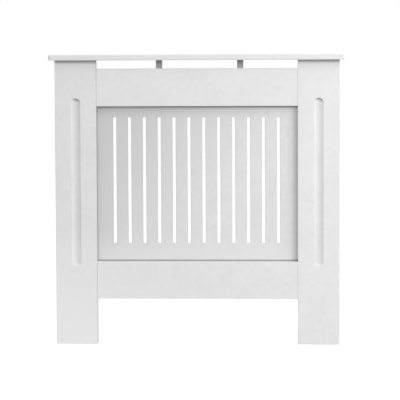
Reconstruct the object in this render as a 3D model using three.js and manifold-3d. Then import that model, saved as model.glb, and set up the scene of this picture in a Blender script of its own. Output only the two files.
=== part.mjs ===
// A white radiator cover cabinet: painted boards with a slotted front grille, fluted front legs and
// an overhanging top shelf, put together with dowels, cam fittings and screws.
// Millimetres, +Z up. X is the width, the front faces -Y and the wall stands at the back, +Y.
// The origin is on the floor, under the middle of the shelf.
import * as THREE from 'three';
import { mergeVertices } from 'three/addons/utils/BufferGeometryUtils.js';
import Module from 'manifold-3d';

// ---- Driving dimensions ----
// Shelf
const shelfWidth = 780;
const shelfDepth = 190;
const shelfBoard = 15;
const shelfCorner = 6; // radius of its two front corners, seen from above
const shelfRound = 3; // radius of its rounded edges
const sideOverhang = 15; // shelf past each side panel
const frontOverhang = 15; // shelf past the front of the legs
// Legs and rails, one flush front frame
const frontBoard = 15;
const legHeight = 750;
const legWidth = 110;
const railHeight = 99;
const lowerRailLift = 120.5; // floor to the underside of the lower rail
const topGap = 21.5; // upper rail to the underside of the shelf
const ease = 1; // radius that takes the sharp edge off every painted board
// Routed flute down the middle of each leg
const fluteWidth = 25;
const fluteDepth = 4;
const fluteWall = 6; // how far its curved wall reaches in from each edge
const fluteBottom = 206.5; // floor to its lower end
const fluteTopMargin = 99.5; // its upper end to the top of the leg
// Grille panel behind the frame
const panelBoard = 9;
const railLap = 30; // how far it laps behind each rail
const legLap = 25; // how far it laps behind each leg
const slotWidth = 10;
const slotPitch = 39.3;
const slotRound = 1.5; // rounded edge of each slot
const slotSideMargin = 38; // least width of plain panel beside the first and last slot
const slotTopMargin = 29; // slots to the upper rail
const slotBottomMargin = 46; // slots to the lower rail
const slotRowShift = -2.3; // the row of slots stands a little left of the middle
// Side panels
const sideBoard = 15;
const skirtingHeight = 130; // notch at the back of each side panel, for the skirting board
const skirtingDepth = 20;
const skirtingCorner = 8; // radius of the inside corner of that notch
// Blocks on the back of the upper rail that hold up the middle of the shelf
const supportWidth = 16;
const supportDepth = 18;
const supportHeight = 80;
const supportSpacing = 214;
const supportShift = 6.7; // the pair stands a little right of the middle
// Dowels
const dowelRadius = 4;
const dowelChamfer = 0.8;
const dowelReach = 20; // depth of a dowel bore in the edge of a board
const railDowelReach = 15; // the same between rail and leg
const railDowelSpacing = 60;
const blindSkin = 4; // board left beyond a bore that enters its face
const legDowelInset = 75; // shelf dowel of each leg, from the outer edge of the leg
// Cam fittings
const camRadius = 7.35;
const camSkin = 2.3; // side panel left beyond the cam's bore
const camDistance = 24; // edge of the side panel to the middle of the cam
const camSink = 0.2; // face of the cam below the face of the panel
const boltThreadRadius = 3;
const boltHeadRadius = 3.4;
const boltNeckRadius = 2.2;
const boltFlangeRadius = 3.8;
const boltFlange = 1.5; // thickness of the flange that stops the bolt at the board's face
const boltHead = 3; // height of the head, at the middle of the cam
const boltNeck = 3; // length of the neck below it
const boltTaper = 1; // length of each slope between head, neck and shank
const threadLead = 0.5; // chamfer at the start of the thread
const boltBoreRadius = 4.2;
const camRecess = 1.6; // depth of the cross recess in the cam's face
const camRecessWidth = 1.6;
const camRecessLength = 8;
const legDowelStep = 32; // each cam behind a leg has its dowel this far along the joint
const shelfDowelStep = 24; // and each cam under the shelf
const shelfFittingInset = 30; // front and back shelf cams, from the ends of the side panel
const legFittingLow = 100; // lower cam between leg and side panel, above the floor
const legFittingHigh = 100; // upper one, below the shelf
// Screws
const screwShankRadius = 1.75;
const screwHeadRadius = 3.4;
const screwHead = 2; // height of a countersunk head
const screwRim = 0.3; // upright edge of a countersunk head
const screwTip = 3;
const screwGrip = 11; // how far each screw holds in the rail or the side panel
const grilleScrewInset = 45; // outer grille screws, from the ends of the rails
const supportScrewSpacing = 28;
const supportScrewInset = 14; // lower screw above the lower end of the block
const panHeadRadius = 3.8;
const panHead = 2.2;
const panHeadCrown = 1.2; // how far its top is drawn in from its rim
// Wall brackets
const bracketArm = 30;
const bracketWidth = 20;
const bracketSheet = 2;
const bracketBend = 3; // outer radius of the bend
const bracketCorner = 4;
const bracketHoleRadius = 2.3;
const bracketDrop = 50; // top edge of the bracket below the shelf
const bracketHoleInset = 11; // middle of each hole from the free end of its arm
// Fits
const fit = 0.2; // radial clearance of every dowel, bolt, cam and screw in its bore, and its end gap

// ---- Places that follow from them ----
const wallY = shelfDepth / 2;
const shelfFrontY = -shelfDepth / 2;
const frontY = shelfFrontY + frontOverhang;
const frameBackY = frontY + frontBoard;
const panelBackY = frameBackY + panelBoard;
const bodyHalf = shelfWidth / 2 - sideOverhang;
const railHalf = bodyHalf - legWidth;
const frameMiddleY = frontY + frontBoard / 2;
const sideInside = bodyHalf - sideBoard;
const sideMiddle = bodyHalf - sideBoard / 2;
const sideDepth = wallY - frameBackY;
const upperRailTop = legHeight - topGap;
const upperRailLift = upperRailTop - railHeight;
const lowerRailTop = lowerRailLift + railHeight;

// Facets of the round forms
const fittingSides = 10;
const roundSteps = 2;
const curveSteps = 4;
const fluteWallSteps = 5;
const fluteEndSteps = 7;

// ---- Materials ----
const whitePaint = new THREE.MeshStandardMaterial({ color: 0xe4e4e4, roughness: 0.5, metalness: 0 });
const beech = new THREE.MeshStandardMaterial({ color: 0xcfae7e, roughness: 0.75, metalness: 0 });
const zincPlate = new THREE.MeshStandardMaterial({ color: 0xb9bcc0, roughness: 0.35, metalness: 1 });
const zincCast = new THREE.MeshStandardMaterial({ color: 0x9a9da1, roughness: 0.5, metalness: 1 });

// ---- Solids ----
const wasm = await Module();
wasm.setup();

// A closed geometry as a solid: shared corners merged, flat slivers at a pole dropped, faces out.
function toSolid(geometry) {
  const bare = new THREE.BufferGeometry();
  bare.setAttribute('position', geometry.getAttribute('position'));
  bare.setIndex(geometry.getIndex());
  const merged = mergeVertices(bare, 1e-4);
  const places = merged.getAttribute('position').array;
  const corners = merged.getIndex().array;
  const kept = [];
  for (let i = 0; i < corners.length; i += 3) {
    const [a, b, c] = corners.slice(i, i + 3);
    if (a !== b && b !== c && c !== a) kept.push(a, b, c);
  }
  if (signedVolume(places, kept) < 0) kept.reverse();
  return new wasm.Manifold(
    new wasm.Mesh({
      numProp: 3,
      vertProperties: new Float32Array(places),
      triVerts: new Uint32Array(kept),
    }),
  );
}

function signedVolume(places, corners) {
  const point = (i) => new THREE.Vector3().fromArray(places, 3 * i);
  let sum = 0;
  for (let i = 0; i < corners.length; i += 3) {
    const a = point(corners[i]);
    sum += a.dot(point(corners[i + 1]).cross(point(corners[i + 2])));
  }
  return sum / 6;
}

function toGeometry(solid) {
  const mesh = solid.getMesh();
  const geometry = new THREE.BufferGeometry();
  geometry.setAttribute('position', new THREE.BufferAttribute(mesh.vertProperties, 3));
  geometry.setIndex(new THREE.BufferAttribute(mesh.triVerts, 1));
  geometry.computeVertexNormals();
  return geometry;
}

// ---- Forms ----
const up = new THREE.Vector3(0, 0, 1);
const ahead = (direction) => new THREE.Quaternion().setFromUnitVectors(up, direction);

// A turned form about Z from its [radius, height] profile, which starts and ends on the axis.
function turned(profile) {
  const points = profile.map(([radius, height]) => new THREE.Vector2(radius, height));
  return new THREE.LatheGeometry(points, fittingSides).rotateX(Math.PI / 2);
}

// A turned form stood at a point and turned to a direction.
const turnedAt = (profile, at, direction) =>
  turned(profile).applyQuaternion(ahead(direction)).translate(at.x, at.y, at.z);

const plug = (radius, from, to) => [[0, from], [radius, from], [radius, to], [0, to]];

// A board from its outline, its thickness along Z, every edge rounded over by the same radius.
function board(outline, thickness, round, steps = roundSteps) {
  return new THREE.ExtrudeGeometry(outline, {
    depth: thickness - 2 * round,
    bevelThickness: round,
    bevelSize: round,
    bevelOffset: -round,
    bevelSegments: steps,
    curveSegments: curveSteps,
  }).translate(0, 0, round);
}

// Stands a board drawn lying down: facing the front, or facing the side.
const facingFront = (geometry) => geometry.rotateX(Math.PI / 2);
const facingSide = (geometry) => geometry.rotateX(Math.PI / 2).rotateZ(Math.PI / 2);

function rectangle(width, height) {
  const shape = new THREE.Shape();
  shape.moveTo(0, 0).lineTo(width, 0).lineTo(width, height).lineTo(0, height).closePath();
  return shape;
}

// An upright outline with half-round ends, from its lowest to its highest point.
function slot(middle, bottom, top, width) {
  const radius = width / 2;
  const path = new THREE.Path();
  path.moveTo(middle + radius, bottom + radius).lineTo(middle + radius, top - radius);
  path.absarc(middle, top - radius, radius, 0, Math.PI);
  path.lineTo(middle - radius, bottom + radius);
  path.absarc(middle, bottom + radius, radius, Math.PI, 2 * Math.PI);
  return path;
}

// ---- Boards, each with the list of bores that its joints cut in it ----
const boards = {};

function addBoard(name, geometry, x, y, z) {
  boards[name] = { geometry, at: new THREE.Vector3(x, y, z), bores: [] };
}

function addShelf() {
  const half = shelfWidth / 2;
  const outline = new THREE.Shape();
  outline.moveTo(half, shelfDepth).lineTo(-half, shelfDepth).lineTo(-half, shelfCorner);
  outline.absarc(shelfCorner - half, shelfCorner, shelfCorner, Math.PI, 1.5 * Math.PI);
  outline.absarc(half - shelfCorner, shelfCorner, shelfCorner, 1.5 * Math.PI, 2 * Math.PI);
  outline.closePath();
  addBoard('top_shelf', board(outline, shelfBoard, shelfRound, 4), 0, shelfFrontY, legHeight);
}

function legGeometry() {
  const plain = toSolid(facingFront(board(rectangle(legWidth, legHeight), frontBoard, ease)));
  return toGeometry(plain.subtract(toSolid(facingFront(flute()))));
}

// The router's cut: flat in the middle, with a wall that curves up to the face of the leg.
// A leg lies from y = -frontBoard, its front, to y = 0, so the cut is drawn from z = floor outwards.
function flute() {
  const outline = new THREE.Shape(
    slot(legWidth / 2, fluteBottom, legHeight - fluteTopMargin, fluteWidth).getPoints(fluteEndSteps),
  );
  return new THREE.ExtrudeGeometry(outline, {
    depth: fluteDepth,
    bevelThickness: fluteDepth,
    bevelSize: fluteWall,
    bevelOffset: -fluteWall,
    bevelSegments: fluteWallSteps,
  }).translate(0, 0, frontBoard);
}

function addLegs() {
  addBoard('left_leg', legGeometry(), -bodyHalf, frameBackY, 0);
  addBoard('right_leg', legGeometry(), bodyHalf - legWidth, frameBackY, 0);
}

function addRails() {
  for (const [name, lift] of [['upper_rail', upperRailLift], ['lower_rail', lowerRailLift]]) {
    const rail = facingFront(board(rectangle(2 * railHalf, railHeight), frontBoard, ease));
    addBoard(name, rail, -railHalf, frameBackY, lift);
  }
}

// The grille: one thin board with a row of upright slots, every slot rounded over on both faces.
function addGrille() {
  const width = 2 * (railHalf + legLap);
  const bottom = lowerRailTop - railLap;
  const outline = rectangle(width, upperRailLift + railLap - bottom);
  const room = 2 * (railHalf - slotSideMargin) - slotWidth;
  const gaps = Math.floor(room / slotPitch);
  for (let i = 0; i <= gaps; i++) {
    const middle = width / 2 + slotRowShift + (i - gaps / 2) * slotPitch;
    const lowest = lowerRailTop + slotBottomMargin - bottom;
    const highest = upperRailLift - slotTopMargin - bottom;
    outline.holes.push(slot(middle, lowest, highest, slotWidth));
  }
  const panel = facingFront(board(outline, panelBoard, slotRound));
  addBoard('grille_panel', panel, -width / 2, panelBackY, bottom);
}

function addSides() {
  const notch = sideDepth - skirtingDepth;
  const outline = new THREE.Shape();
  outline.moveTo(0, 0).lineTo(notch, 0).lineTo(notch, skirtingHeight - skirtingCorner);
  outline.absarc(
    notch + skirtingCorner,
    skirtingHeight - skirtingCorner,
    skirtingCorner,
    Math.PI,
    Math.PI / 2,
    true,
  );
  outline.lineTo(sideDepth, skirtingHeight).lineTo(sideDepth, legHeight).lineTo(0, legHeight);
  outline.closePath();
  const side = () => facingSide(board(outline, sideBoard, ease));
  addBoard('left_side_panel', side(), -bodyHalf, frameBackY, 0);
  addBoard('right_side_panel', side(), sideInside, frameBackY, 0);
}

const supportX = (hand) => supportShift + (hand * supportSpacing) / 2;

function addSupports() {
  for (const [name, hand] of [['left_shelf_support', -1], ['right_shelf_support', 1]]) {
    const block = facingFront(board(rectangle(supportWidth, supportHeight), supportDepth, ease));
    const x = supportX(hand) - supportWidth / 2;
    addBoard(name, block, x, frameBackY + supportDepth, legHeight - supportHeight);
  }
}

// A wall bracket: a folded strip, one arm on the inside of the side panel and one against the wall.
function addBrackets() {
  for (const [name, hand] of [['left_wall_bracket', -1], ['right_wall_bracket', 1]]) {
    const inner = bracketBend - bracketSheet;
    const x = (distance) => -hand * distance;
    const shape = new THREE.Shape();
    shape.moveTo(x(0), -bracketArm).lineTo(x(bracketSheet), -bracketArm);
    shape.lineTo(x(bracketSheet), -bracketSheet - inner);
    shape.quadraticCurveTo(x(bracketSheet), -bracketSheet, x(bracketSheet + inner), -bracketSheet);
    shape.lineTo(x(bracketArm), -bracketSheet).lineTo(x(bracketArm), 0).lineTo(x(bracketBend), 0);
    shape.quadraticCurveTo(x(0), 0, x(0), -bracketBend).closePath();
    const settings = { depth: bracketWidth, bevelEnabled: false, curveSegments: 4 };
    const strip = new THREE.ExtrudeGeometry(shape, settings);
    addBoard(name, strip, hand * sideInside, wallY, legHeight - bracketDrop - bracketWidth);
    boards[name].material = zincPlate;
    cutBracket(name, hand);
  }
}

// Rounds the free corners of both arms and drills one hole in each.
function cutBracket(name, hand) {
  const middle = bracketWidth / 2;
  const reach = bracketArm - bracketHoleInset;
  const toWall = new THREE.Vector3(0, 1, 0);
  const toSide = new THREE.Vector3(hand, 0, 0);
  const { bores, at } = boards[name];
  const hole = plug(bracketHoleRadius, -bracketSheet - fit, fit);
  bores.push(turnedAt(hole, new THREE.Vector3(-hand * reach, 0, middle).add(at), toWall));
  bores.push(turnedAt(hole, new THREE.Vector3(0, -reach, middle).add(at), toSide));
  for (const arm of [toWall, toSide]) {
    for (const end of [0, bracketWidth]) {
      bores.push(bracketCornerCut(arm, end, hand, at));
    }
  }
}

// What is left of a square when the rounded corner of an arm is taken out of it.
function bracketCornerCut(arm, end, hand, at) {
  const r = bracketCorner;
  const way = end === 0 ? 1 : -1;
  const shape = new THREE.Shape();
  shape.moveTo(-fit, -fit * way).lineTo(r, -fit * way).lineTo(r, 0);
  shape.quadraticCurveTo(0, 0, 0, r * way).lineTo(-fit, r * way).closePath();
  const settings = { depth: bracketSheet + 2 * fit, bevelEnabled: false, curveSegments: 4 };
  const cut = new THREE.ExtrudeGeometry(shape, settings).translate(0, 0, -fit);
  facingFront(cut);
  if (arm.y === 1) cut.scale(hand, 1, 1).translate(-hand * bracketArm, 0, end);
  else cut.rotateZ(Math.PI / 2).scale(-hand, 1, 1).translate(0, -bracketArm, end);
  return cut.translate(at.x, at.y, at.z);
}

// ---- Fittings ----
const product = new THREE.Group();
product.name = 'radiator_cover_cabinet';

function addMesh(name, geometry, material, at, direction = up) {
  const mesh = new THREE.Mesh(geometry, material);
  mesh.name = name;
  mesh.position.copy(at);
  mesh.quaternion.copy(ahead(direction));
  product.add(mesh);
}

const addFitting = (name, profile, material, at, direction) =>
  addMesh(name, toGeometry(toSolid(turned(profile))), material, at, direction);

function cutBoth(names, profile, at, direction) {
  for (const name of names) boards[name].bores.push(turnedAt(profile, at, direction));
}

// A dowel across a joint face at a point: one depth back into the first board, one on into the second.
function dowel(name, [first, second], at, direction, back, on) {
  const low = fit - back;
  const high = on - fit;
  cutBoth([first, second], plug(dowelRadius + fit, -back, on), at, direction);
  const profile = [
    [0, low],
    [dowelRadius - dowelChamfer, low],
    [dowelRadius, low + dowelChamfer],
    [dowelRadius, high - dowelChamfer],
    [dowelRadius - dowelChamfer, high],
    [0, high],
  ];
  addFitting(name, profile, beech, at, direction);
}

// A cam fitting: a bolt stands in the face of one board and runs up the edge of the side panel, where
// the cam, let into the inside face, grips its head. The direction runs from the first board on.
function camFitting({ name, first, side, at, direction, hand, grip }) {
  cutBoth([first], plug(boltThreadRadius + fit, -grip, fit), at, direction);
  cutBoth([side], plug(boltBoreRadius, 0, camDistance), at, direction);
  addFitting(`${name}_bolt`, boltProfile(grip), zincPlate, at, direction);

  const inward = new THREE.Vector3(-hand, 0, 0);
  const face = at.clone().addScaledVector(direction, camDistance);
  face.x = hand * sideInside;
  const depth = sideBoard - camSkin;
  cutBoth([side], plug(camRadius + fit, -depth, fit), face, inward);
  const seat = face.clone().addScaledVector(inward, -depth + fit);
  const toBolt = direction.clone().negate().applyQuaternion(ahead(inward).invert());
  addMesh(`${name}_cam`, camGeometry(depth - fit - camSink, toBolt), zincCast, seat, inward);
}

function boltProfile(grip) {
  const head = camDistance - boltHead / 2;
  const neck = head - boltTaper - boltNeck;
  return [
    [0, fit - grip],
    [boltThreadRadius - threadLead, fit - grip],
    [boltThreadRadius, fit - grip + threadLead],
    [boltThreadRadius, fit],
    [boltFlangeRadius, fit],
    [boltFlangeRadius, fit + boltFlange],
    [boltThreadRadius, fit + boltFlange],
    [boltThreadRadius, neck - boltTaper],
    [boltNeckRadius, neck],
    [boltNeckRadius, head - boltTaper],
    [boltHeadRadius, head],
    [boltHeadRadius, head + boltHead],
    [boltNeckRadius, head + boltHead + boltTaper],
    [0, head + boltHead + boltTaper],
  ];
}

// The cam: a short cylinder, open at the rim for the bolt's head and neck, with a cross recess.
function camGeometry(height, toBolt) {
  const bolt = new THREE.Vector3(0, 0, sideBoard / 2 - camSkin - fit);
  const past = boltHead / 2 + boltTaper + 2 * fit;
  const mouth = turnedAt(plug(boltHeadRadius + 2 * fit, -past, 2 * camRadius), bolt, toBolt);
  let cam = toSolid(turned(plug(camRadius, 0, height))).subtract(toSolid(mouth));
  for (const [width, length] of [
    [camRecessWidth, camRecessLength],
    [camRecessLength, camRecessWidth],
  ]) {
    const arm = new THREE.BoxGeometry(width, length, 2 * camRecess).translate(0, 0, height);
    cam = cam.subtract(toSolid(arm));
  }
  return toGeometry(cam);
}

// A countersunk screw from the back of one board, through it, and on into the rail.
function countersunk(name, [through, into], thickness, at, direction) {
  const length = thickness + screwGrip;
  const profile = (gap) => [
    [0, gap > 0 ? -fit : 0],
    [screwHeadRadius + gap, gap > 0 ? -fit : 0],
    [screwHeadRadius + gap, screwRim],
    [screwShankRadius + gap, screwHead + gap],
    [screwShankRadius + gap, length - screwTip + gap],
    [0, length + gap],
  ];
  cutBoth([through, into], profile(fit), at, direction);
  addFitting(name, profile(0), zincPlate, at, direction);
}

// A pan head screw through a bracket's arm into the side panel.
function panHeadScrew(name, [bracket, side], at, direction) {
  const length = bracketSheet + screwGrip;
  cutBoth([side], plug(screwShankRadius + fit, 0, length + fit), at, direction);
  const seat = at.clone().addScaledVector(direction, -fit);
  addFitting(
    name,
    [
      [0, -panHead],
      [panHeadRadius - panHeadCrown, -panHead],
      [panHeadRadius, -panHead / 2],
      [panHeadRadius, 0],
      [screwShankRadius, 0],
      [screwShankRadius, length - screwTip],
      [0, length],
    ],
    zincPlate,
    seat,
    direction,
  );
}

// ---- Joints ----
const toRight = new THREE.Vector3(1, 0, 0);
const toFront = new THREE.Vector3(0, -1, 0);
const toBack = new THREE.Vector3(0, 1, 0);
const down = new THREE.Vector3(0, 0, -1);
const hands = [['left', -1], ['right', 1]];

// The rails are glued between the legs on two dowels at each end.
function joinRails() {
  for (const [rail, lift] of [['upper_rail', upperRailLift], ['lower_rail', lowerRailLift]]) {
    for (const [side, hand] of hands) {
      for (const [level, way] of [['lower', -1], ['upper', 1]]) {
        const z = lift + railHeight / 2 + (way * railDowelSpacing) / 2;
        const at = new THREE.Vector3(hand * railHalf, frameMiddleY, z);
        const direction = toRight.clone().multiplyScalar(hand);
        const name = `${rail}_${side}_${level}_dowel`;
        dowel(name, [rail, `${side}_leg`], at, direction, railDowelReach, railDowelReach);
      }
    }
  }
}

// Each side panel stands behind its leg on two cams and two dowels.
function joinSidesToLegs() {
  for (const [side, hand] of hands) {
    const pair = [`${side}_leg`, `${side}_side_panel`];
    const spots = [
      ['lower', legFittingLow, 1],
      ['upper', legHeight - legFittingHigh, -1],
    ];
    for (const [level, z, way] of spots) {
      const at = new THREE.Vector3(hand * sideMiddle, frameBackY, z);
      const grip = frontBoard - blindSkin;
      const name = `${side}_leg_${level}`;
      camFitting({ name, first: pair[0], side: pair[1], at, direction: toBack, hand, grip });
      const beside = at.clone().setZ(z + way * legDowelStep);
      dowel(`${name}_dowel`, pair, beside, toBack, grip, dowelReach);
    }
  }
}

// The shelf lies on the side panels on two cams and two dowels a side, and on one dowel in each leg.
function joinShelf() {
  for (const [side, hand] of hands) {
    const panel = `${side}_side_panel`;
    const grip = shelfBoard - blindSkin;
    const spots = [
      ['front', frameBackY + shelfFittingInset, 1],
      ['back', wallY - shelfFittingInset, -1],
    ];
    for (const [place, y, way] of spots) {
      const at = new THREE.Vector3(hand * sideMiddle, y, legHeight);
      const name = `${side}_shelf_${place}`;
      camFitting({ name, first: 'top_shelf', side: panel, at, direction: down, hand, grip });
      const beside = at.clone().setY(y + way * shelfDowelStep);
      dowel(`${name}_dowel`, ['top_shelf', panel], beside, down, grip, dowelReach);
    }
    const legX = hand * (bodyHalf - legDowelInset);
    const onLeg = new THREE.Vector3(legX, frameMiddleY, legHeight);
    const pair = ['top_shelf', `${side}_leg`];
    dowel(`${side}_leg_shelf_dowel`, pair, onLeg, down, grip, dowelReach);
  }
}

// Three screws hold the grille to each rail, through its lap.
function screwGrille() {
  const rows = [
    ['upper', upperRailLift + railLap / 2],
    ['lower', lowerRailTop - railLap / 2],
  ];
  for (const [level, z] of rows) {
    for (const [place, step] of [['left', -1], ['middle', 0], ['right', 1]]) {
      const x = step * (railHalf - grilleScrewInset);
      const at = new THREE.Vector3(x, panelBackY, z);
      const pair = ['grille_panel', `${level}_rail`];
      countersunk(`grille_${level}_${place}_screw`, pair, panelBoard, at, toFront);
    }
  }
}

function screwSupports() {
  for (const [side, hand] of hands) {
    for (const [level, step] of [['lower', 0], ['upper', 1]]) {
      const lowest = legHeight - supportHeight + supportScrewInset;
      const z = lowest + step * supportScrewSpacing;
      const at = new THREE.Vector3(supportX(hand), frameBackY + supportDepth, z);
      const pair = [`${side}_shelf_support`, 'upper_rail'];
      countersunk(`${side}_support_${level}_screw`, pair, supportDepth, at, toFront);
    }
  }
}

function screwBrackets() {
  for (const [side, hand] of hands) {
    const y = wallY - bracketArm + bracketHoleInset;
    const z = legHeight - bracketDrop - bracketWidth / 2;
    const at = new THREE.Vector3(hand * (sideInside - bracketSheet), y, z);
    const direction = toRight.clone().multiplyScalar(hand);
    const pair = [`${side}_wall_bracket`, `${side}_side_panel`];
    panHeadScrew(`${side}_bracket_screw`, pair, at, direction);
  }
}

// ---- The cabinet ----
addShelf();
addLegs();
addRails();
addGrille();
addSides();
addSupports();
addBrackets();

joinRails();
joinSidesToLegs();
joinShelf();
screwGrille();
screwSupports();
screwBrackets();

for (const [name, { geometry, at, bores, material }] of Object.entries(boards)) {
  let solid = toSolid(geometry.translate(at.x, at.y, at.z));
  for (const bore of bores) solid = solid.subtract(toSolid(bore));
  const home = solid.translate([-at.x, -at.y, -at.z]);
  addMesh(name, toGeometry(home), material ?? whitePaint, at);
}

export default product;
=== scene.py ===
"""A white radiator cover cabinet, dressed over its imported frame, in metres.

The sections follow the cabinet as it is put together: the front frame of legs and rails, the
grille behind it, the side panels, the shelf and its supports, the fittings that join them, and the
wall brackets. The camera comes first and the studio last.
"""

import math

import bmesh
import bpy
from mathutils import Matrix, Vector


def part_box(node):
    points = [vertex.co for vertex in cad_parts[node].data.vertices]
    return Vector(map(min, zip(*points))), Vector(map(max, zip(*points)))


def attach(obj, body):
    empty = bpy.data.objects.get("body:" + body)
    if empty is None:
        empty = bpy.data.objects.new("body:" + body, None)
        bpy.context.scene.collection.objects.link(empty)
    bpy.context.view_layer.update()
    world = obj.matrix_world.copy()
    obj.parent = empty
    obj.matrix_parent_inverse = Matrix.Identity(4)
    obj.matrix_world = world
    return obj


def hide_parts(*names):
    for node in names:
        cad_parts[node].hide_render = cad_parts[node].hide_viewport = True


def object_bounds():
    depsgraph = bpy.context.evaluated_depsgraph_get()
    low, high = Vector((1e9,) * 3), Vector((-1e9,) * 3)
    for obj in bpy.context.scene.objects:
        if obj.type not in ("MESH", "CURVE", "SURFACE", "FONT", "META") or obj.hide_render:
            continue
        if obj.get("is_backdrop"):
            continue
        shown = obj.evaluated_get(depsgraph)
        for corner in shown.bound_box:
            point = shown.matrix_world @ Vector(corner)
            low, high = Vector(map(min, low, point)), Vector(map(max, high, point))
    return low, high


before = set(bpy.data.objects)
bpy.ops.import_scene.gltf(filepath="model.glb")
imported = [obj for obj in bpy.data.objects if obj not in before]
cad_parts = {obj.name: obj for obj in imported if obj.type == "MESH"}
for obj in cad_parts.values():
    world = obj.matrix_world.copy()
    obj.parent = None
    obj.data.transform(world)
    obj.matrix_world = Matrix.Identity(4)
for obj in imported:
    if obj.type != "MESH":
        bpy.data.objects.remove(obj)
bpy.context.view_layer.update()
mm = 0.001


# ---------------------------------------------------------------------------------------------
# Camera
# A long lens from about five and a half metres, at the height of the shelf and a little to the
# right of the middle, tipped down and turned in so that the cabinet fills the frame.

PHOTO_WIDTH = 400
FOCAL_PIXELS = 2066
SENSOR_WIDTH = 36
CAMERA_PLACE = (0.324, -5.5, 0.760)
TURN_IN = math.radians(3.34)
TIP_DOWN = math.radians(3.98)
ROLL = math.radians(-0.24)

camera_data = bpy.data.cameras.new("camera")
camera_data.sensor_width = SENSOR_WIDTH
camera_data.lens = SENSOR_WIDTH * FOCAL_PIXELS / PHOTO_WIDTH
camera = bpy.data.objects.new("camera", camera_data)
bpy.context.scene.collection.objects.link(camera)
camera.location = CAMERA_PLACE
turned_in = Matrix.Rotation(TURN_IN, 3, "Z")
tipped = Matrix.Rotation(math.pi / 2 - TIP_DOWN, 3, "X")
rolled = Matrix.Rotation(ROLL, 3, "Z")
camera.rotation_euler = (turned_in @ tipped @ rolled).to_euler()
bpy.context.scene.camera = camera


# ---------------------------------------------------------------------------------------------
# Legs
# Two upright boards of 15 mm fibreboard, with a flute routed down the middle of each and the sharp
# edges sanded off. The cabinet is painted white. Painted shade in grey lies on the sawn ends,
# along the inner edges, under the shelf and in the flutes, and painted light makes the white paler
# towards the foot of the left leg.


def colour(text):
    """An sRGB hex colour as linear RGBA."""
    parts = [int(text[i : i + 2], 16) / 255 for i in (0, 2, 4)]
    linear = [p / 12.92 if p <= 0.04045 else ((p + 0.055) / 1.055) ** 2.4 for p in parts]
    return (*linear, 1)


def add_node(owner, kind, inputs=(), **settings):
    """Adds a node with its settings, and sets or links its inputs."""
    node = owner.node_tree.nodes.new(kind)
    for name, value in settings.items():
        setattr(node, name, value)
    for name, value in dict(inputs).items():
        if isinstance(value, bpy.types.NodeSocket):
            owner.node_tree.links.new(value, node.inputs[name])
        else:
            node.inputs[name].default_value = value
    return node


def new_material(name):
    """A bare material, its object coordinates and its surface."""
    material = bpy.data.materials.new(name)
    material.use_nodes = True
    material.node_tree.nodes.clear()
    place = add_node(material, "ShaderNodeTexCoord").outputs["Object"]
    surface = add_node(material, "ShaderNodeBsdfPrincipled")
    output = add_node(material, "ShaderNodeOutputMaterial")
    material.node_tree.links.new(surface.outputs[0], output.inputs["Surface"])
    return material, place, surface


def link(material, socket, surface, name):
    material.node_tree.links.new(socket, surface.inputs[name])


CLOUDS = 60 * mm
MOTTLE = 14 * mm
PEEL = 4 * mm


def satin_paint(name, thin, full, fades=()):
    """Satin paint sprayed on fibreboard: the film pools and thins in soft clouds a hand wide, and
    its orange peel breaks the sheen. The real peel is about 1 mm, drawn coarser so that it shows.
    Where a fade says so, the coat starts from another colour."""
    material, place, surface = new_material(name)
    clouds = add_node(
        material,
        "ShaderNodeTexNoise",
        {"Vector": place, "Scale": 1 / CLOUDS, "Detail": 4, "Roughness": 0.55},
    )
    mottle = add_node(
        material,
        "ShaderNodeTexNoise",
        {"Vector": place, "Scale": 1 / MOTTLE, "Detail": 3, "Roughness": 0.5},
    )
    film = add_node(
        material,
        "ShaderNodeMath",
        {0: clouds.outputs["Fac"], 1: mottle.outputs["Fac"]},
        operation="ADD",
    )
    spread = {"Value": film.outputs[0], "From Min": 0.7, "From Max": 1.3}
    cover = add_node(material, "ShaderNodeMapRange", spread)
    sheen = add_node(material, "ShaderNodeMapRange", {**spread, "To Min": 0.42, "To Max": 0.52})
    tint = add_node(
        material,
        "ShaderNodeMix",
        {"Factor": cover.outputs[0], "A": colour(thin), "B": colour(full)},
        data_type="RGBA",
    )
    peel = add_node(
        material,
        "ShaderNodeTexNoise",
        {"Vector": place, "Scale": 1 / PEEL, "Detail": 2, "Roughness": 0.45},
    )
    bump = add_node(
        material,
        "ShaderNodeBump",
        {"Height": peel.outputs["Fac"], "Strength": 0.12, "Distance": 0.4 * mm},
    )
    coat = tint.outputs["Result"]
    for direction, edge, reach, other in fades:
        along = add_node(
            material, "ShaderNodeVectorMath", {0: place, 1: direction}, operation="DOT_PRODUCT"
        )
        laid = add_node(
            material,
            "ShaderNodeMapRange",
            {"Value": along.outputs["Value"], "From Min": edge, "From Max": edge + reach},
            interpolation_type="SMOOTHSTEP",
        )
        over = add_node(
            material,
            "ShaderNodeMix",
            {"Factor": laid.outputs[0], "A": colour(other), "B": coat},
            data_type="RGBA",
        )
        coat = over.outputs["Result"]
    link(material, coat, surface, "Base Color")
    link(material, sheen.outputs[0], surface, "Roughness")
    link(material, bump.outputs[0], surface, "Normal")
    surface.inputs["IOR"].default_value = 1.5
    return material


UP, RIGHT, DOWN = 0, 90, 180


def front_direction(degrees):
    """A direction in the plane of the front, turned clockwise from straight up."""
    angle = math.radians(degrees)
    return Vector((math.sin(angle), 0, math.cos(angle)))


def fade(degrees, start, reach, other):
    """A coat that starts from another colour at a place, and is full a reach further on in the
    given direction."""
    direction = front_direction(degrees)
    return direction, direction.dot(start), reach, other


SHARP = math.radians(35)
NEAR = 0.01 * mm  # places closer than this count as one


def sharp_edges(shape):
    return [e for e in shape.edges if e.calc_face_angle(0) > SHARP]


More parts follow.
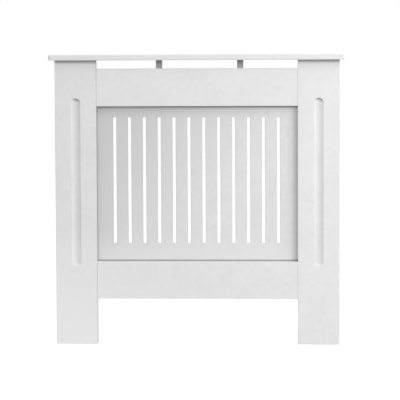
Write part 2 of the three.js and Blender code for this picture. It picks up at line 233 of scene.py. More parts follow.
def round_over(shape, edges, radius, segments, clamp=True):
    """Rounds edges over as a sander or a router bit does."""
    bmesh.ops.bevel(
        shape,
        geom=edges,
        offset=radius,
        offset_type="OFFSET",
        affect="EDGES",
        segments=segments,
        profile=0.5,
        material=-1,
        clamp_overlap=clamp,
    )


def block(low, high):
    """A plain block between two corners."""
    shape = bmesh.new()
    bmesh.ops.create_cube(shape, size=1)
    bmesh.ops.scale(shape, vec=high - low, verts=shape.verts)
    bmesh.ops.translate(shape, vec=(low + high) / 2, verts=shape.verts)
    return shape


EASE = 1 * mm
EASE_STEPS = 4


def eased_board(low, high):
    """A sawn board with its sharp edges sanded off."""
    shape = block(low, high)
    round_over(shape, shape.edges[:], EASE, EASE_STEPS)
    return shape


def make_piece(name, shape, material=None):
    """A bmesh as an object at the origin."""
    bmesh.ops.recalc_face_normals(shape, faces=shape.faces)
    mesh = bpy.data.meshes.new(name)
    shape.to_mesh(mesh)
    shape.free()
    piece = bpy.data.objects.new(name, mesh)
    bpy.context.scene.collection.objects.link(piece)
    if material:
        mesh.materials.append(material)
    return piece


def cut(piece, shape):
    """Takes a shape out of a piece for good."""
    if not shape.faces:
        shape.free()
        return
    tool = make_piece("cutter", shape)
    modifier = piece.modifiers.new("cut", "BOOLEAN")
    modifier.object = tool
    modifier.operation = "DIFFERENCE"
    modifier.solver = "EXACT"
    solved = piece.evaluated_get(bpy.context.evaluated_depsgraph_get())
    mesh = bpy.data.meshes.new_from_object(solved)
    piece.modifiers.clear()
    old = piece.data
    mesh.name = piece.name
    piece.data = mesh
    bpy.data.meshes.remove(old)
    bpy.data.meshes.remove(tool.data)


def seated(piece, node):
    """Smooths a finished piece, rides it on the cabinet and lets it stand for its node."""
    for face in piece.data.polygons:
        face.use_smooth = True
    piece.data.set_sharp_from_angle(angle=SHARP)
    even = piece.modifiers.new("even", "WEIGHTED_NORMAL")
    even.keep_sharp = True
    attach(piece, "root")
    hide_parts(node)


def nodes_ending(ending):
    return [node for node in sorted(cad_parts) if node.endswith(ending)]


def long_axis(node):
    low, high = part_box(node)
    return max(range(3), key=lambda axis: high[axis] - low[axis])


def ends_of(node, axis, beyond=0):
    """The middles of a node's ends along an axis, or the places beyond them."""
    low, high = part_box(node)
    start = (low + high) / 2
    end = start.copy()
    start[axis] = low[axis] - beyond
    end[axis] = high[axis] + beyond
    return start, end


def enters(node, board):
    """Whether a node reaches into a board."""
    (low, high), (board_low, board_high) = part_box(node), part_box(board)
    return all(
        low[axis] < board_high[axis] - NEAR and board_low[axis] < high[axis] - NEAR
        for axis in range(3)
    )


def aim(way):
    """The turn that points an upright shape a way."""
    return Vector((0, 0, 1)).rotation_difference(way).to_matrix().to_4x4()


ROD_SIDES = 32


def rod(shape, start, end, radius, top_radius=None, sides=ROD_SIDES):
    """Adds a cylinder or a cone from one point to another."""
    way = end - start
    bmesh.ops.create_cone(
        shape,
        cap_ends=True,
        segments=sides,
        radius1=radius,
        radius2=radius if top_radius is None else top_radius,
        depth=way.length,
        matrix=Matrix.Translation((start + end) / 2) @ aim(way),
    )


# The radius of the bore for each fastener, by the end of its node's name
BORE = {"_dowel": 4.2 * mm, "_bolt": 4.2 * mm, "_cam": 7.55 * mm, "_screw": 1.95 * mm}
BORE_REACH = 0.8 * mm


def drill(piece, board):
    """Drills a finished board for every fastener that the frame puts in it."""
    for ending, radius in BORE.items():
        bores = bmesh.new()
        for node in nodes_ending(ending):
            if enters(node, board):
                axis = 0 if ending == "_cam" else long_axis(node)
                rod(bores, *ends_of(node, axis, BORE_REACH), radius)
        cut(piece, bores)


# The router's cut is a shallow cove, steeper at its top end than at its sides.
FLUTE_WIDTH = 25 * mm
FLUTE_DEPTH = 3.6 * mm
FLUTE_BOTTOM = 206.5 * mm
FLUTE_TOP_MARGIN = 99.5 * mm
FLUTE_STEPS = 14
STEEP_TOP = 0.65
ARC_SEGMENTS = 48
CLEAR = 1 * mm  # how far a cutter stands clear of what it cuts


def upright_ring(shape, x, y, bottom, top, radius):
    """Adds an upright outline with half-round ends, and returns its edges."""
    upright = Matrix.Rotation(math.pi / 2, 4, "X")
    half_step = Matrix.Rotation(math.pi / ARC_SEGMENTS, 4, "Z")
    made = bmesh.ops.create_circle(
        shape,
        segments=ARC_SEGMENTS,
        radius=radius,
        matrix=Matrix.Translation((x, y, bottom)) @ upright @ half_step,
    )["verts"]
    upper = [v for v in made if v.co.z > bottom]
    bmesh.ops.translate(shape, vec=(0, 0, top - bottom), verts=upper)
    return list({e for v in made for e in v.link_edges})


def upright_cutter(shape, x, bottom, top, profile):
    """Adds a closed cutter whose half-round outline follows (radius, y, lift) steps from front to
    back. The lift raises the top end."""
    rings = [upright_ring(shape, x, y, bottom, top + lift, radius) for radius, y, lift in profile]
    for ring, following in zip(rings, rings[1:]):
        bmesh.ops.bridge_loops(shape, edges=ring + following)
    for ring in (rings[0], rings[-1]):
        bmesh.ops.contextual_create(shape, geom=ring)


def flute_profile(front):
    """The cove, from clear of the leg's face down to its middle."""
    half = FLUTE_WIDTH / 2
    bend = (half**2 + FLUTE_DEPTH**2) / (2 * FLUTE_DEPTH)
    widest = math.acos((bend - FLUTE_DEPTH - CLEAR) / bend)
    for i in range(FLUTE_STEPS):
        angle = widest * (1 - i / FLUTE_STEPS)
        radius = bend * math.sin(angle)
        depth = bend * math.cos(angle) - (bend - FLUTE_DEPTH)
        yield radius, front + depth, STEEP_TOP * (half - radius)


def is_routed(face, front, middle, top):
    """Whether a leg's face is one of its flute."""
    x, y, z = face.center
    sunk = face.normal.y < 0 and y > front + NEAR
    return sunk and abs(x - middle) < FLUTE_WIDTH / 2 and FLUTE_BOTTOM < z < top


def coat(piece, material, is_coated):
    """Gives some faces of a piece another coat."""
    piece.data.materials.append(material)
    slot = len(piece.data.materials) - 1
    for face in piece.data.polygons:
        if is_coated(face):
            face.material_index = slot


SHELF_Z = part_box("top_shelf")[0].z
WHITE = ("e0e0e0", "e6e6e6")
# Painted light: the white grows paler towards the foot of the left leg.
painted_light_at_foot = fade(30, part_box("left_leg")[0], 380 * mm, "f2f2f2")
# Painted shade: a dark grey just under the shelf, fading out 11 mm further down.
painted_shade_below_shelf = fade(DOWN, (0, 0, SHELF_Z), 11 * mm, "8a8a8a")
paint = satin_paint("white_satin_paint", *WHITE, [painted_light_at_foot])
paint_with_painted_shade_below_shelf = satin_paint(
    "white_satin_paint_with_painted_shade_below_shelf", *WHITE, [painted_light_at_foot, painted_shade_below_shelf]
)
# Painted shade: a grey for the legs' sawn ends, the grille's slot walls and the grille's edges.
shade_grey = satin_paint("grey_painted_shade", "9a9a9a", "a8a8a8")
SAWN = 0.5 * mm  # how much of a sawn end's rounding gets the painted shade
SHADE_ANGLE = 22  # the painted shade lies on the upper right of each flute's round end

for side, hand in (("left", -1), ("right", 1)):
    low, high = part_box(f"{side}_leg")
    inner = min(abs(low.x), abs(high.x))
    # Painted shade: grey along the leg's inner edge, which also shows in the joint groove at each
    # rail.
    painted_shade_on_inner_edge = fade(hand * RIGHT, (hand * inner, 0, 0), 1.2 * mm, "b0b0b0")
    leg_paint = satin_paint(
        f"white_satin_paint_{side}_leg", *WHITE, [painted_light_at_foot, painted_shade_on_inner_edge, painted_shade_below_shelf]
    )
    leg = make_piece(f"{side}_fluted_leg", eased_board(low, high), leg_paint)
    half = FLUTE_WIDTH / 2
    middle = (low.x + high.x) / 2
    top = high.z - FLUTE_TOP_MARGIN
    flute = bmesh.new()
    profile = list(flute_profile(low.y))
    upright_cutter(flute, middle, FLUTE_BOTTOM + half, top - half, profile)
    cut(leg, flute)
    drill(leg, f"{side}_leg")
    # Painted shade on the sawn ends, where the leg meets the shelf and the floor.
    coat(leg, shade_grey, lambda face: not low.z + SAWN < face.center.z < high.z - SAWN)
    # Painted shade: a greyer coat in all of the flute, darker still at the upper right of its top
    # end.
    round_end = Vector((middle, 0, top - half)) + half * front_direction(SHADE_ANGLE)
    shaded_end = fade(SHADE_ANGLE + DOWN, round_end, 11 * mm, "9a9a9a")
    flute_coat = satin_paint(
        f"greyer_satin_paint_{side}_flute", "dadada", "e0e0e0", [painted_light_at_foot, shaded_end]
    )
    coat(leg, flute_coat, lambda face: is_routed(face, low.y, middle, top))
    seated(leg, f"{side}_leg")


# ---------------------------------------------------------------------------------------------
# Rails
# Two boards of the same stock glued between the legs on dowels. Their eased ends leave a fine
# groove at each joint, where the painted shade on the leg's inner edge shows as a grey line.

for name in ("upper_rail", "lower_rail"):
    rail = make_piece(f"{name}_board", eased_board(*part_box(name)), paint)
    drill(rail, name)
    seated(rail, name)


# ---------------------------------------------------------------------------------------------
# Grille
# One thin fibreboard panel, screwed to the backs of the rails. Twelve slots are routed through
# it, and a round-over bit softens both rims of each before the panel is painted.

SLOT_COUNT = 12
SLOT_WIDTH = 9 * mm
SLOT_PITCH = 39.3 * mm
SLOT_ROUND = 1.5 * mm
SLOT_TOP_MARGIN = 29 * mm
SLOT_BOTTOM_MARGIN = 46 * mm
SLOT_ROW_SHIFT = -2.3 * mm
RIM_STEPS = 4
WALL_SLOPE = 0.6  # a face whose normal is turned less than this to the front or back is a wall
HEAD_RADIUS = 3.6 * mm
HEAD_DEPTH = 2.2 * mm
SHANK_RADIUS = 1.75 * mm


def quarter(steps):
    """Fractions (across, along) round a quarter circle."""
    for i in range(steps + 1):
        angle = math.pi / 2 * i / steps
        yield math.sin(angle), 1 - math.cos(angle)


def slot_profile(front, back):
    """A slot through the panel, flared at both faces by the round-over bit."""
    half = SLOT_WIDTH / 2
    rim = [
        (half + SLOT_ROUND * (1 - across), SLOT_ROUND * along)
        for across, along in quarter(RIM_STEPS)
    ]
    yield half + SLOT_ROUND, front - CLEAR, 0
    for radius, depth in rim:
        yield radius, front + depth, 0
    for radius, depth in reversed(rim):
        yield radius, back - depth, 0
    yield half + SLOT_ROUND, back + CLEAR, 0


def countersink(piece, screws):
    """Opens the back of a piece for the heads of its screws."""
    seats = bmesh.new()
    slope = (HEAD_RADIUS - SHANK_RADIUS) / HEAD_DEPTH
    for name in screws:
        _, seat = ends_of(name, 1)
        start = seat - Vector((0, HEAD_DEPTH, 0))
        end = seat + Vector((0, CLEAR, 0))
        rod(seats, start, end, SHANK_RADIUS, HEAD_RADIUS + slope * CLEAR)
    cut(piece, seats)


opening_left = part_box("left_leg")[1].x
opening_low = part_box("lower_rail")[1].z
opening_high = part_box("upper_rail")[0].z
upper_left = (opening_left + 28 * mm, 0, opening_high - 28 * mm)
# Painted light and shade on the grille's front: darker towards the upper left and paler towards
# the bottom, with dark painted shade under the upper rail, above the lower rail and along the left
# leg.
painted_light_and_shade_on_grille = [
    fade(RIGHT + 45, upper_left, 400 * mm, "cecece"),
    fade(UP, (0, 0, opening_low), 80 * mm, "e3e3e3"),
    fade(DOWN, (0, 0, opening_high), 10 * mm, "868686"),
    fade(UP, (0, 0, opening_low), 6 * mm, "8a8a8a"),
    fade(RIGHT, (opening_left, 0, 0), 3 * mm, "b4b4b4"),
]
# The grille's paint is a little greyer than the frame's.
GREYER_WHITE = ("dadada", "e1e1e1")
back_coat = satin_paint("greyer_satin_paint", *GREYER_WHITE)
front_coat = satin_paint("greyer_satin_paint_with_painted_shade", *GREYER_WHITE, painted_light_and_shade_on_grille)

low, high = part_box("grille_panel")
shape = block(low, high)
round_over(shape, shape.edges[:], SLOT_ROUND, RIM_STEPS)
grille = make_piece("slotted_grille", shape, front_coat)
slots = bmesh.new()
lowest = opening_low + SLOT_BOTTOM_MARGIN + SLOT_WIDTH / 2
highest = opening_high - SLOT_TOP_MARGIN - SLOT_WIDTH / 2
for i in range(SLOT_COUNT):
    x = (low.x + high.x) / 2 + SLOT_ROW_SHIFT + (i - (SLOT_COUNT - 1) / 2) * SLOT_PITCH
    upright_cutter(slots, x, lowest, highest, list(slot_profile(low.y, high.y)))
cut(grille, slots)
drill(grille, "grille_panel")
countersink(grille, [node for node in nodes_ending("_screw") if node.startswith("grille_")])
coat(grille, back_coat, lambda face: face.center.y > (low.y + high.y) / 2)
# Painted shade: grey on the slot walls and on the panel's edges.
coat(grille, shade_grey, lambda face: abs(face.normal.y) < WALL_SLOPE)
seated(grille, "grille_panel")


# ---------------------------------------------------------------------------------------------
# Side panels
# A board behind each leg, flush with its outer edge, that runs back to the wall. Its lower back
# corner is sawn out to clear the skirting board, and its inside face is bored for the cams.

NOTCH_HEIGHT = 130 * mm
NOTCH_DEPTH = 20 * mm
NOTCH_CORNER = 8 * mm
CORNER_STEPS = 8


def thicken(shape, way):
    """Gives a flat shape its thickness."""
    grown = bmesh.ops.extrude_face_region(shape, geom=shape.faces[:])["geom"]
    moved = [v for v in grown if isinstance(v, bmesh.types.BMVert)]
    bmesh.ops.translate(shape, vec=way, verts=moved)


def extruded(outline, way):
    """A closed shape from its flat outline."""
    shape = bmesh.new()
    shape.faces.new([shape.verts.new(point) for point in outline])
    thicken(shape, way)
    return shape


def lies_at(edge, axis, place):
    return all(abs(v.co[axis] - place) < NEAR for v in edge.verts)


for side in ("left", "right"):
    name = f"{side}_side_panel"
    low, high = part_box(name)
    notch = high.y - NOTCH_DEPTH
    outline = [
        (low.y, low.z),
        (notch, low.z),
        (notch, NOTCH_HEIGHT),
        (high.y, NOTCH_HEIGHT),
        (high.y, high.z),
        (low.y, high.z),
    ]
    shape = extruded([(low.x, y, z) for y, z in outline], (high.x - low.x, 0, 0))
    corner = [e for e in shape.edges if lies_at(e, 1, notch) and lies_at(e, 2, NOTCH_HEIGHT)]
    round_over(shape, corner, NOTCH_CORNER, CORNER_STEPS)
    round_over(shape, sharp_edges(shape), EASE, EASE_STEPS)
    panel = make_piece(f"{side}_side_board", shape, paint_with_painted_shade_below_shelf)
    drill(panel, name)
    seated(panel, name)


# ---------------------------------------------------------------------------------------------
# Shelf
# The widest board, with its front corners and all its edges rounded by a router bit. It overhangs
# the sides and the front, and is sprayed with the same paint as the frame.

SHELF_CORNER = 6 * mm
SHELF_ROUND = 3 * mm
SHELF_STEPS = 6

low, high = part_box("top_shelf")
shape = block(low, high)
front_edges = [e for e in shape.edges if lies_at(e, 1, low.y)]
front_corners = [e for e in front_edges if lies_at(e, 0, low.x) or lies_at(e, 0, high.x)]
round_over(shape, front_corners, SHELF_CORNER, CORNER_STEPS)
round_over(shape, sharp_edges(shape), SHELF_ROUND, SHELF_STEPS)
shelf = make_piece("shelf_board", shape, paint)
drill(shelf, "top_shelf")
seated(shelf, "top_shelf")


# ---------------------------------------------------------------------------------------------
# Shelf supports
# Two short blocks of fibreboard screwed to the back of the upper rail. They carry the middle of
# the shelf and show as two grey posts in the air gap. Their grey is painted shade, darkest at the
# top, where the shelf's shadow is painted on.

# Painted shade: grey, with a painted shadow of the shelf that darkens the top 24 mm.
support_grey_with_painted_shadow = satin_paint(
    "grey_with_painted_shelf_shadow", "c2c2c2", "cccccc", [fade(DOWN, (0, 0, SHELF_Z), 24 * mm, "7c7c7c")]
)
for side in ("left", "right"):
    name = f"{side}_shelf_support"
    support = make_piece(f"{side}_support_block", eased_board(*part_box(name)), support_grey_with_painted_shadow)
    drill(support, name)
    countersink(support, [f"{side}_support_lower_screw", f"{side}_support_upper_screw"])
    seated(support, name)


# ---------------------------------------------------------------------------------------------
# Dowels
# Beech pins, fluted along their length so that the glue can spread, and chamfered at both ends so
# that they start easily in their bores.

FLECK_WIDTH = 0.6 * mm
FLECK_LENGTH = 6 * mm


def beech(axis):
    """Bare beech: pale and close, with short dark flecks that run along the dowel."""
    material, place, surface = new_material(f"bare_beech_along_{'xyz'[axis]}")
    stretch = [1 / FLECK_WIDTH] * 3
    stretch[axis] = 1 / FLECK_LENGTH
    along = add_node(material, "ShaderNodeMapping", {"Vector": place, "Scale": stretch})
    grain = add_node(
        material,
        "ShaderNodeTexNoise",
        {"Vector": along.outputs[0], "Scale": 1, "Detail": 4, "Roughness": 0.6},
    )
    tint = add_node(
        material,
        "ShaderNodeMix",
        {"Factor": grain.outputs["Fac"], "A": colour("b98f5f"), "B": colour("dcbf94")},
        data_type="RGBA",
    )
    bump = add_node(
        material,
        "ShaderNodeBump",
        {"Height": grain.outputs["Fac"], "Strength": 0.3, "Distance": 0.1 * mm},
    )
    link(material, tint.outputs["Result"], surface, "Base Color")
    link(material, bump.outputs[0], surface, "Normal")
    surface.inputs["Roughness"].default_value = 0.7
    return material


DOWEL_GROOVES = 20
GROOVE_DEPTH = 0.25 * mm
DOWEL_RADIUS = 4 * mm
DOWEL_CHAMFER = 0.8 * mm
beech_along = [beech(axis) for axis in range(3)]


def fluted_dowel(start, end):
    """A pin from one point to another, every second edge of its round drawn in as a groove."""
    shape = bmesh.new()
    way = end - start
    made = bmesh.ops.create_circle(
        shape, cap_ends=True, segments=2 * DOWEL_GROOVES, radius=DOWEL_RADIUS
    )
    for i, vertex in enumerate(made["verts"]):
        if i % 2:
            vertex.co *= 1 - GROOVE_DEPTH / DOWEL_RADIUS
    thicken(shape, (0, 0, way.length))
    ends = [e for e in shape.edges if lies_at(e, 2, 0) or lies_at(e, 2, way.length)]
    round_over(shape, ends, DOWEL_CHAMFER, 1, clamp=False)
    bmesh.ops.transform(shape, matrix=Matrix.Translation(start) @ aim(way), verts=shape.verts)
    return shape


for node in nodes_ending("_dowel"):
    axis = long_axis(node)
    dowel = make_piece(f"{node}_pin", fluted_dowel(*ends_of(node, axis)), beech_along[axis])
    seated(dowel, node)


# ---------------------------------------------------------------------------------------------
# Cam bolts
# Zinc-plated steel, turned with a coarse thread at one end and a round head at the other. The
# flange stops each bolt at the face of its board.

HAZE = 1.5 * mm


def zinc_plate():
    """Bright zinc plating on turned steel: a cool metal whose shine is broken by a fine haze."""
    material, place, surface = new_material("bright_zinc_plate")
    haze = add_node(
        material,
        "ShaderNodeTexNoise",
        {"Vector": place, "Scale": 1 / HAZE, "Detail": 3, "Roughness": 0.6},
    )
    tint = add_node(
        material,
        "ShaderNodeMix",
        {"Factor": haze.outputs["Fac"], "A": colour("a4aaaf"), "B": colour("c6c9cc")},
        data_type="RGBA",
    )
    gloss = add_node(
        material,
        "ShaderNodeMapRange",
        {"Value": haze.outputs["Fac"], "To Min": 0.22, "To Max": 0.42},
    )
    link(material, tint.outputs["Result"], surface, "Base Color")
    link(material, gloss.outputs[0], surface, "Roughness")
    surface.inputs["Metallic"].default_value = 1
    return material


plated = zinc_plate()
TURNED_SIDES = 32


def turned(profile, start, way):
    """A closed turned form: its (radius, length) steps spun about the way it points."""
    shape = bmesh.new()
    chain = [shape.verts.new((radius, 0, length)) for radius, length in profile]
    edges = [shape.edges.new(pair) for pair in zip(chain, chain[1:])]
    bmesh.ops.spin(
        shape,
        geom=chain + edges,
        cent=(0, 0, 0),
        axis=(0, 0, 1),
        angle=2 * math.pi,
        steps=TURNED_SIDES,
        use_merge=True,
    )
    bmesh.ops.remove_doubles(shape, verts=shape.verts, dist=NEAR)
    bmesh.ops.transform(shape, matrix=Matrix.Translation(start) @ aim(way), verts=shape.verts)
    return shape


def thread(core, crest, start, end, pitch):
    """(radius, length) steps of a thread's ridges between two places along a shank."""
    turns = int((end - start) / pitch)
    for i in range(turns):
        yield core, start + i * pitch
        yield crest, start + (i + 0.5) * pitch
    yield core, start + turns * pitch


BOLT_CORE = 2.3 * mm
BOLT_RADIUS = 3 * mm
BOLT_PITCH = 1.8 * mm
BOLT_RUNOUT = 0.4 * mm  # between the thread and the shoulder at the flange
SHOULDER_RADIUS = 2.6 * mm
FLANGE_RADIUS = 3.8 * mm
FLANGE = 1.5 * mm
NECK_RADIUS = 2.2 * mm
BOLT_NECK = 3 * mm
BOLT_HEAD_RADIUS = 3.4 * mm
BOLT_HEAD = 3 * mm
BOLT_TAPER = 1 * mm
CAM_DISTANCE = 24 * mm  # edge of the side panel to the middle of the cam
FIT = 0.2 * mm  # clearance between the flange and that edge


def cam_bolt(start, way, length):
    """A bolt from the tip of its thread to its head, which hooks into the cam."""
    head = length - BOLT_TAPER - BOLT_HEAD
    neck = head - BOLT_TAPER - BOLT_NECK
    flange = head + BOLT_HEAD / 2 - CAM_DISTANCE + FIT
    profile = [
        (0, 0),
        *thread(BOLT_CORE, BOLT_RADIUS, 0, flange - BOLT_RUNOUT, BOLT_PITCH),
        (SHOULDER_RADIUS, flange),
        (FLANGE_RADIUS, flange),
        (FLANGE_RADIUS, flange + FLANGE),
        (BOLT_RADIUS, flange + FLANGE),
        (BOLT_RADIUS, neck - BOLT_TAPER),
        (NECK_RADIUS, neck),
        (NECK_RADIUS, head - BOLT_TAPER),
        (BOLT_HEAD_RADIUS, head),
        (BOLT_HEAD_RADIUS, head + BOLT_HEAD),
        (NECK_RADIUS, length),
        (0, length),
    ]
    return turned(profile, start, way)


for node in nodes_ending("_bolt"):
    axis = long_axis(node)
    low_end, high_end = ends_of(node, axis)
    if "_leg_" in node:
        start, way = low_end, Vector((0, 1, 0))
    else:
        start, way = high_end, Vector((0, 0, -1))
    length = (high_end - low_end).length
    bolt = make_piece(f"{node}_turned", cam_bolt(start, way, length), plated)
    seated(bolt, node)


# ---------------------------------------------------------------------------------------------
# Cams
# Round zinc castings let into the inside of the side panels, open at the rim for the bolt's head.
# The face has a cross for the screwdriver and a small arrow cast in that points at the bolt.

PITS = 0.8 * mm


def zinc_casting():
    """Tumbled zinc die casting: grey, dull and faintly pitted."""
    material, place, surface = new_material("zinc_die_casting")
    pits = add_node(
        material,
        "ShaderNodeTexNoise",
        {"Vector": place, "Scale": 1 / PITS, "Detail": 4, "Roughness": 0.65},
    )
    tint = add_node(
        material,
        "ShaderNodeMix",
        {"Factor": pits.outputs["Fac"], "A": colour("9a9da1"), "B": colour("bdc0c4")},
        data_type="RGBA",
    )
    bump = add_node(
        material,
        "ShaderNodeBump",
        {"Height": pits.outputs["Fac"], "Strength": 0.3, "Distance": 0.05 * mm},
    )
    link(material, tint.outputs["Result"], surface, "Base Color")
    link(material, bump.outputs[0], surface, "Normal")
    surface.inputs["Metallic"].default_value = 1
    surface.inputs["Roughness"].default_value = 0.5
    return material


cast = zinc_casting()
CAM_RADIUS = 7.35 * mm
CAM_SIDES = 48
CAM_RIM = 0.4 * mm
CAM_RIM_STEPS = 3
MOUTH_RADIUS = 3.8 * mm
MOUTH_BACK = 2.9 * mm  # how far the mouth runs on past the middle of the cam
CROSS_WIDTH = 1.6 * mm
CROSS_LENGTH = 8 * mm
CROSS_DEPTH = 1.6 * mm
ARROW = 1.8 * mm
ARROW_DEPTH = 0.4 * mm
ARROW_MARGIN = 1.2 * mm


def bore(piece, start, end, radius):
    """Bores a piece from one point to another."""
    drilled = bmesh.new()
    rod(drilled, start, end, radius)
    cut(piece, drilled)


def cross(centre, inward, width, length, depth):
    """The two arms of a cross recess, as one cutter for each."""
    sunk = 0 if inward.x else 1
    for across, upright in ((length, width), (width, length)):
        size = Vector((across, across, upright))
        size[sunk] = 2 * depth
        yield block(centre - size / 2, centre + size / 2)


def arrow_recess(face, inward, to_bolt):
    """A small triangle cast into the face, near the rim, that points at the bolt."""
    tip = face + to_bolt * (CAM_RADIUS - ARROW_MARGIN) + inward * CLEAR
    base = tip - to_bolt * ARROW
    spread = to_bolt.cross(inward) * ARROW / 2
    return extruded([tip, base - spread, base + spread], -inward * (CLEAR + ARROW_DEPTH))


for node in nodes_ending("_cam"):
    side = node.split("_")[0]
    hand = 1 if side == "left" else -1
    inward = Vector((hand, 0, 0))
    to_bolt = Vector((0, -1, 0)) if "_leg_" in node else Vector((0, 0, 1))
    foot, face = ends_of(node, 0)[::hand]
    shape = bmesh.new()
    rod(shape, foot, face, CAM_RADIUS, sides=CAM_SIDES)
    round_over(shape, sharp_edges(shape), CAM_RIM, CAM_RIM_STEPS)
    cam = make_piece(f"{node}_casting", shape, cast)
    board_low, board_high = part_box(f"{side}_side_panel")
    heart = Vector(((board_low.x + board_high.x) / 2, face.y, face.z))
    bore(cam, heart - to_bolt * MOUTH_BACK, heart + to_bolt * 2 * CAM_RADIUS, MOUTH_RADIUS)
    for arm in cross(face, inward, CROSS_WIDTH, CROSS_LENGTH, CROSS_DEPTH):
        cut(cam, arm)
    cut(cam, arrow_recess(face, inward, to_bolt))
    seated(cam, node)


# ---------------------------------------------------------------------------------------------
# Screws
# Zinc-plated steel screws. Those of the grille and the supports are countersunk and lie flush,
# and the two in the wall brackets have pan heads. Each head has a cross for the screwdriver.

SCREW_CORE = 1.25 * mm
SCREW_CREST = 1.75 * mm
SCREW_PITCH = 1.4 * mm
SCREW_RUNOUT = 0.5 * mm  # between the head and the thread
SCREW_TIP = 3 * mm
TIP_RADIUS = 0.8 * mm  # half way along the tip
SCREW_HEAD_RADIUS = 3.4 * mm
SCREW_HEAD = 2 * mm
SCREW_RIM = 0.3 * mm
CROSS_ARM = 0.7 * mm
CROSS_SPAN = 3.2 * mm
CROSS_SINK = 1.3 * mm
PAN_RADIUS = 3.8 * mm
PAN_HEIGHT = 2.2 * mm
PAN_CROWN = 1.2 * mm
PAN_DOME = 0.7  # share of the head's height that is domed
PAN_STEPS = 6


def shank(head, length):
    """(radius, length) steps of a threaded shank with its point, from under the head."""
    yield SCREW_CORE, head
    yield from thread(
        SCREW_CORE, SCREW_CREST, head + SCREW_RUNOUT, length - SCREW_TIP, SCREW_PITCH
    )
    yield TIP_RADIUS, length - SCREW_TIP / 2
    yield 0, length


def countersunk_profile(length):
    rim = [(0, 0), (SCREW_HEAD_RADIUS, 0), (SCREW_HEAD_RADIUS, SCREW_RIM)]
    return [*rim, *shank(SCREW_HEAD, length)]


def pan_profile(length):
    dome = [
        (PAN_RADIUS - PAN_CROWN * (1 - across), PAN_HEIGHT * PAN_DOME * along)
        for across, along in quarter(PAN_STEPS)
    ]
    return [(0, 0), *dome, (PAN_RADIUS, PAN_HEIGHT), *shank(PAN_HEIGHT, length)]


for node in nodes_ending("_screw"):
    axis = long_axis(node)
    low_end, high_end = ends_of(node, axis)
    length = (high_end - low_end).length
    if "bracket" in node:
        leftward = node.startswith("left")
        way = Vector((-1 if leftward else 1, 0, 0))
        start = high_end if leftward else low_end
        profile = pan_profile(length)
    else:
        way = Vector((0, -1, 0))
        start = high_end
        profile = countersunk_profile(length)
    screw = make_piece(f"{node}_turned", turned(profile, start, way), plated)
    for arm in cross(start, way, CROSS_ARM, CROSS_SPAN, CROSS_SINK):
        cut(screw, arm)
    seated(screw, node)


# ---------------------------------------------------------------------------------------------
# Wall brackets
# Two small angles folded from 2 mm zinc-plated strip. One arm is screwed to the inside of each
# side panel, and the other lies against the wall with a hole for the wall's own screw.

SHEET = 2 * mm
BEND = 3 * mm
ARM_CORNER = 4 * mm
HOLE_RADIUS = 2.3 * mm
HOLE_INSET = 11 * mm
SHEET_EASE = 0.25 * mm
SHEET_STEPS = 2

for side, hand in (("left", -1), ("right", 1)):
    name = f"{side}_wall_bracket"
    low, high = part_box(name)
    fold_x, end_x = (low.x, high.x) if hand < 0 else (high.x, low.x)
    sheet_x = fold_x - hand * SHEET
    sheet_y = high.y - SHEET
    outline = [
        (fold_x, high.y),
        (end_x, high.y),
        (end_x, sheet_y),
        (sheet_x, sheet_y),
        (sheet_x, low.y),
        (fold_x, low.y),
    ]
    shape = extruded([(x, y, low.z) for x, y in outline], (0, 0, high.z - low.z))
    for x, y, radius in ((fold_x, high.y, BEND), (sheet_x, sheet_y, BEND - SHEET)):
        fold = [e for e in shape.edges if lies_at(e, 0, x) and lies_at(e, 1, y)]
        round_over(shape, fold, radius, CORNER_STEPS)
    level = [e for e in shape.edges if lies_at(e, 2, low.z) or lies_at(e, 2, high.z)]
    arm_ends = [e for e in level if lies_at(e, 0, end_x) or lies_at(e, 1, low.y)]
    round_over(shape, arm_ends, ARM_CORNER, CORNER_STEPS)
    round_over(shape, sharp_edges(shape), SHEET_EASE, SHEET_STEPS)
    bracket = make_piece(f"{side}_bracket_strip", shape, plated)
    middle = (low.z + high.z) / 2
    hole_x = end_x + hand * HOLE_INSET
    wall_hole = [Vector((hole_x, y, middle)) for y in (sheet_y - CLEAR, high.y + CLEAR)]
    hole_y = low.y + HOLE_INSET
    through_side = (sheet_x - hand * CLEAR, fold_x + hand * CLEAR)
    side_hole = [Vector((x, hole_y, middle)) for x in through_side]
    for ends in (wall_hole, side_hole):
        bore(bracket, *ends, HOLE_RADIUS)
    seated(bracket, name)


# ---------------------------------------------------------------------------------------------
# Studio
# A white floor that keeps a faint shadow, a white surround, one large soft lamp high on the right
# and in front, a small low one beside it, and an even sky that fills the shadows.

FLOOR_HALF = 8
FLOOR_GLOW = 0.88
SURROUND = 0.67
WHITE_LIGHT = colour("ffffff")
MIDDLE = Vector((0, 0, 0.4))


def seen_plainly(owner):
    """1 where the camera sees this straight, mirrored or through glass, and 0 elsewhere."""
    rays = add_node(owner, "ShaderNodeLightPath")
    mirrored = add_node(
        owner,
        "ShaderNodeMath",
        {0: rays.outputs["Is Camera Ray"], 1: rays.outputs["Is Glossy Ray"]},
        operation="MAXIMUM",
    )
    through = add_node(
        owner,
        "ShaderNodeMath",
        {0: mirrored.outputs[0], 1: rays.outputs["Is Transmission Ray"]},
        operation="MAXIMUM",
    )
    return through.outputs[0]


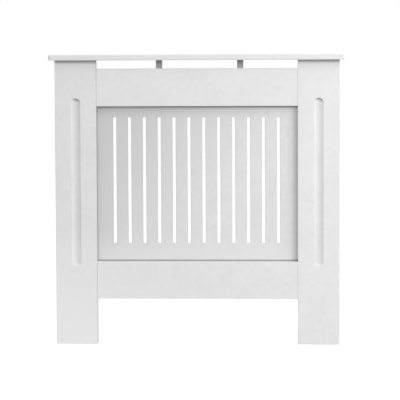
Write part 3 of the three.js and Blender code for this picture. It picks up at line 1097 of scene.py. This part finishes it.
def white_floor():
    """Matt white paper. It glows where it is seen, so that only the cabinet's shadow shows."""
    material = bpy.data.materials.new("white_floor")
    material.use_nodes = True
    material.node_tree.nodes.clear()
    paper = add_node(material, "ShaderNodeBsdfDiffuse", {"Color": colour("e2e2e2")})
    thin = add_node(material, "ShaderNodeBsdfDiffuse", {"Color": colour("898989")})
    glow = add_node(
        material, "ShaderNodeEmission", {"Color": WHITE_LIGHT, "Strength": FLOOR_GLOW}
    )
    seen = add_node(material, "ShaderNodeAddShader", {0: thin.outputs[0], 1: glow.outputs[0]})
    mixed = add_node(
        material,
        "ShaderNodeMixShader",
        {0: seen_plainly(material), 1: paper.outputs[0], 2: seen.outputs[0]},
    )
    add_node(material, "ShaderNodeOutputMaterial", {"Surface": mixed.outputs[0]})
    return material


shape = bmesh.new()
bmesh.ops.create_grid(shape, x_segments=1, y_segments=1, size=FLOOR_HALF)
floor = make_piece("floor", shape, white_floor())
floor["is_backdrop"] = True

world = bpy.data.worlds.new("surround")
world.use_nodes = True
world.node_tree.nodes.clear()
level = add_node(
    world,
    "ShaderNodeMapRange",
    {"Value": seen_plainly(world), "To Min": SURROUND, "To Max": 1.0},
)
sky = add_node(
    world, "ShaderNodeBackground", {"Color": WHITE_LIGHT, "Strength": level.outputs[0]}
)
add_node(world, "ShaderNodeOutputWorld", {"Surface": sky.outputs[0]})
bpy.context.scene.world = world


def soft_lamp(name, place, size, power):
    """A square lamp that faces the middle of the cabinet."""
    data = bpy.data.lights.new(name, "AREA")
    data.shape = "SQUARE"
    data.size = size
    data.energy = power
    lamp = bpy.data.objects.new(name, data)
    bpy.context.scene.collection.objects.link(lamp)
    lamp.location = place
    lamp.rotation_euler = (Vector(place) - MIDDLE).to_track_quat("Z", "Y").to_euler()


soft_lamp("key", place=(2.2, -1.6, 3.2), size=2.4, power=62)
soft_lamp("side", place=(1.6, -1.5, 0.9), size=1.2, power=9)

bpy.context.scene.view_settings.view_transform = "Standard"


# ---------------------------------------------------------------------------------------------
# Sizes of what is drawn, and the end

low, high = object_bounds()
